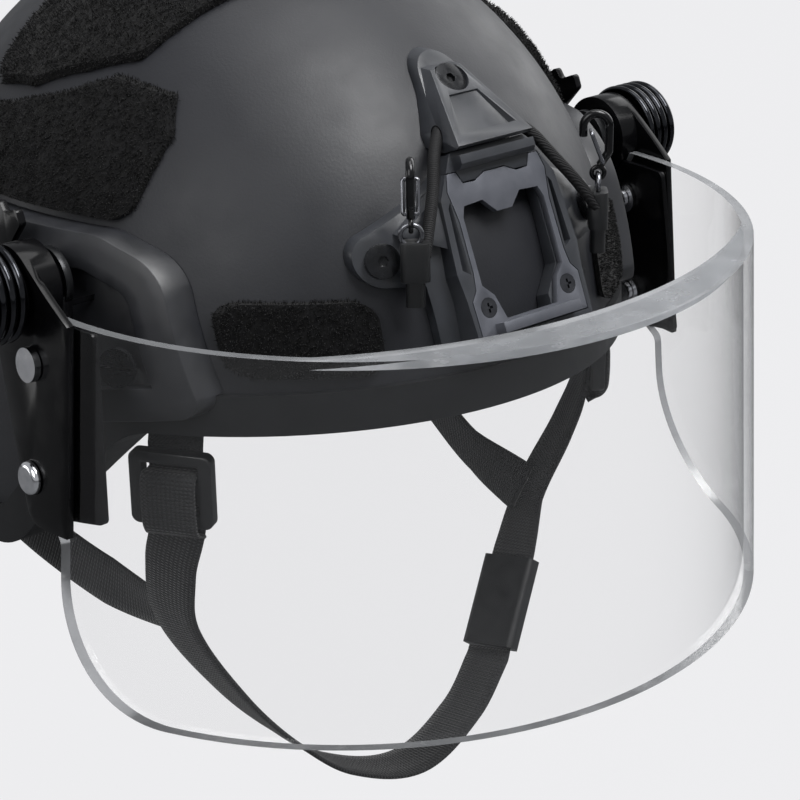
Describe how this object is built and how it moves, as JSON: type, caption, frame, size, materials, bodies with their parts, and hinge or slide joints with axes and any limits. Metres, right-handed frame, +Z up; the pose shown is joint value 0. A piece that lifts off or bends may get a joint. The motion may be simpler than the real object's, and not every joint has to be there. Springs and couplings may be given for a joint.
{
  "type": "police riot helmet",
  "caption": "Ballistic police helmet with a clear hinged riot visor on side rails, a front mount shroud with bungees, hook-and-loop panels, pads and a chin strap.",
  "frame": {"origin": "centre of the shell at its widest section, where the head sits", "axes": "+Z up, -Y to the wearer's front, +X to the wearer's left"},
  "size_m": [0.3186, 0.3401, 0.3072],
  "materials": {
    "shell": "fine sprayed texture",
    "trim": "satin",
    "loop": "fuzzy loop pile",
    "rail": "moulded satin",
    "dark_metal": "blackened",
    "shroud": "moulded satin",
    "insert": "anodised satin",
    "screw_steel": "polished",
    "cord": "braided",
    "sleeve": "shrunk sleeve",
    "hook_metal": "gloss black",
    "wire_steel": "bright",
    "clear": "clear polycarbonate",
    "arm": "gloss",
    "bright_steel": "polished",
    "pin_metal": "blackened",
    "pad": "brushed cloth over foam",
    "webbing": "woven",
    "hardware": "moulded"
  },
  "bodies": {
    "helmet": {"adjuster_left": "hardware", "adjuster_right": "hardware", "aft_pad_left": "pad", "aft_pad_right": "pad", "buckle_plug": "hardware", "buckle_socket": "hardware", "bungee_cord_left": "cord", "bungee_cord_right": "cord", "bungee_ring_left": "wire_steel", "bungee_ring_right": "wire_steel", "bungee_sleeve_left": "sleeve", "bungee_sleeve_right": "sleeve", "crown_loop": "loop", "crown_pad": "pad", "edge_trim": "trim", "fore_pad_left": "pad", "fore_pad_right": "pad", "front_loop_left": "loop", "front_loop_right": "loop", "front_pad": "pad", "front_strap_left": "webbing", "front_strap_right": "webbing", "hinge_pin_left": "pin_metal", "hinge_pin_right": "pin_metal", "insert_screws": "screw_steel", "nape_strap": "webbing", "rail_adapter_left": "arm", "rail_adapter_right": "arm", "rail_screws": "dark_metal", "rear_loop": "loop", "rear_pad": "pad", "rear_strap_left": "webbing", "rear_strap_right": "webbing", "shell": "shell", "shell_nuts": "dark_metal", "shroud": "shroud", "shroud_insert": "insert", "shroud_screws": "dark_metal", "side_loop_left": "loop", "side_loop_right": "loop", "side_rail_left": "rail", "side_rail_right": "rail", "spring_core_left": "arm", "spring_core_right": "arm"},
    "visor": {"hinge_spring_left": "bright_steel", "hinge_spring_right": "bright_steel", "inner_arm_left": "arm", "inner_arm_right": "arm", "rivet_nuts": "bright_steel", "rivet_washers": "bright_steel", "rivets": "bright_steel", "visor_arm_left": "arm", "visor_arm_right": "arm", "visor_lens": "clear"},
    "lever_right": {"release_lever_right": "arm"},
    "hook_right": {"bungee_hook_right": "hook_metal"},
    "gate_right": {"hook_gate_right": "wire_steel"},
    "lever_left": {"release_lever_left": "arm"},
    "hook_left": {"bungee_hook_left": "hook_metal"},
    "gate_left": {"hook_gate_left": "wire_steel"}
  },
  "joints": [
    {"name": "visor_tilt", "type": "hinge", "parent": "helmet", "child": "visor", "pos_m": [0, -0.049, 0.043], "axis": [-1, 0, 0], "range_deg": [0, 95]},
    {"name": "release_right", "type": "hinge", "parent": "helmet", "child": "lever_right", "pos_m": [-0.123, -0.0265, 0.0455], "axis": [-1, 0, 0], "range_deg": [0, 10], "stiffness_Nm_per_rad": 0.02},
    {"name": "release_left", "type": "hinge", "parent": "helmet", "child": "lever_left", "pos_m": [0.123, -0.0265, 0.0455], "axis": [-1, 0, 0], "range_deg": [0, 10], "stiffness_Nm_per_rad": 0.02},
    {"name": "hook_swing_right", "type": "hinge", "parent": "helmet", "child": "hook_right", "pos_m": [-0.04082, -0.13423, 0.0636], "axis": [0.7659, -0.6429, 0], "range_deg": [-10, 85]},
    {"name": "gate_right", "type": "hinge", "parent": "hook_right", "child": "gate_right", "pos_m": [-0.04172, -0.1353, 0.0675], "axis": [0.7659, -0.6429, 0], "range_deg": [0, 18], "stiffness_Nm_per_rad": 0.002},
    {"name": "hook_swing_left", "type": "hinge", "parent": "helmet", "child": "hook_left", "pos_m": [0.04067, -0.13408, 0.0636], "axis": [0.6429, 0.7659, 0], "range_deg": [-10, 85]},
    {"name": "gate_left", "type": "hinge", "parent": "hook_left", "child": "gate_left", "pos_m": [0.04174, -0.13498, 0.0675], "axis": [0.6429, 0.7659, 0], "range_deg": [0, 18], "stiffness_Nm_per_rad": 0.002}
  ]
}
